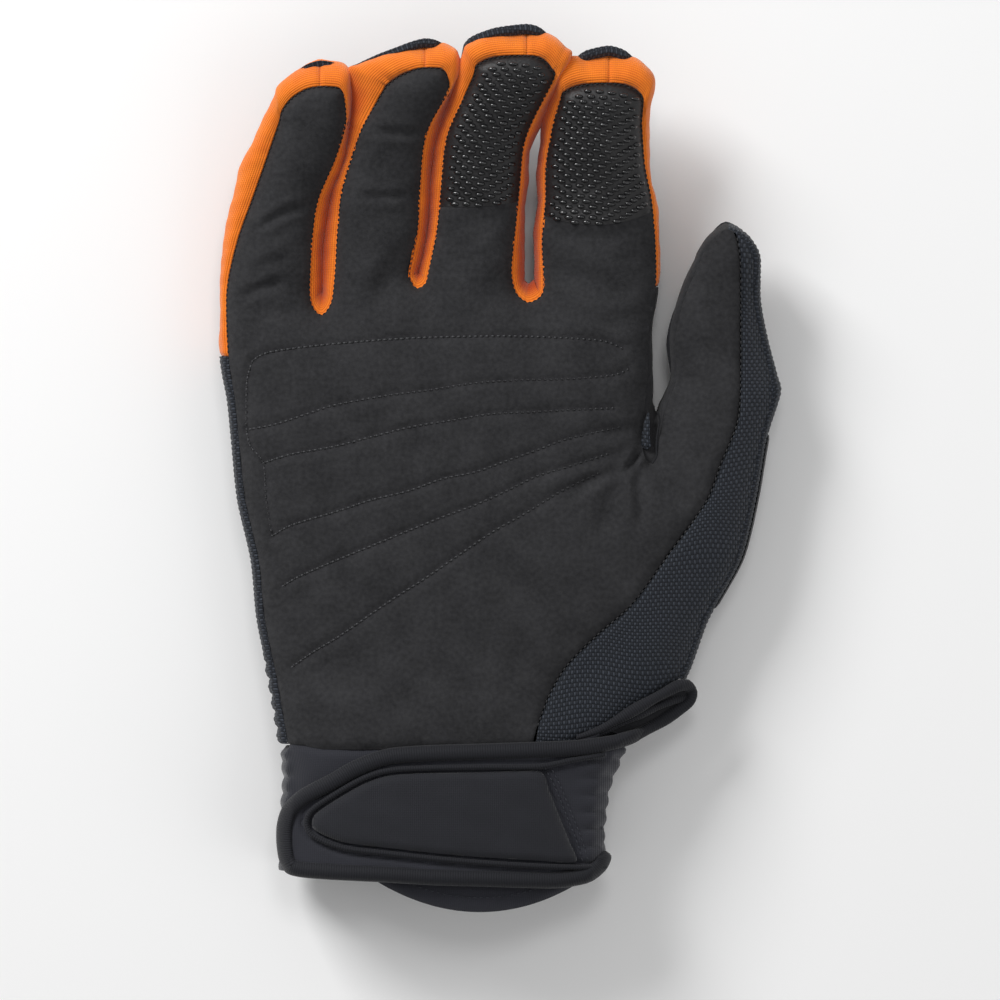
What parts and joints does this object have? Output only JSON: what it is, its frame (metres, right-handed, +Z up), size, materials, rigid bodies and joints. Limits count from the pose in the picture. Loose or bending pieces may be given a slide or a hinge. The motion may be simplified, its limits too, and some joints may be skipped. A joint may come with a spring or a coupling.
{
  "type": "motocross glove",
  "caption": "Hollow full-finger riding glove, palm up, with a suede palm, knit finger sides, woven thumb panel and a cuff closed by a strap.",
  "frame": {"origin": "centre of the bounding box seen from above, at the resting surface; the glove lies on its back with the palm up", "axes": "+Y runs from the cuff to the fingertips, +X towards the thumb, +Z up out of the palm"},
  "size_m": [0.1382, 0.217, 0.0329],
  "materials": {
    "suede": "matte brushed nap",
    "knit": "matte stretch knit",
    "woven": "matte coarse weave",
    "neoprene": "matte jersey-faced neoprene",
    "tape": "matte ribbed tape",
    "rubber": "satin moulded",
    "silicone": "glossy silicone"
  },
  "bodies": {
    "root": {"palm_panel": "suede", "fourchette_pinky_outer": "knit", "fourchette_pinky_ring": "knit", "fourchette_ring_middle": "knit", "fourchette_middle_index": "knit", "fourchette_index_outer": "knit", "back_panel": "woven", "thumb_panel": "woven", "thumb_guard": "rubber", "grip_print_middle": "silicone", "grip_print_index": "silicone", "cuff": "neoprene", "cuff_gusset": "tape", "closure_strap": "neoprene", "strap_binding": "tape", "strap_panel": "neoprene", "strap_piping": "tape"}
  },
  "joints": []
}
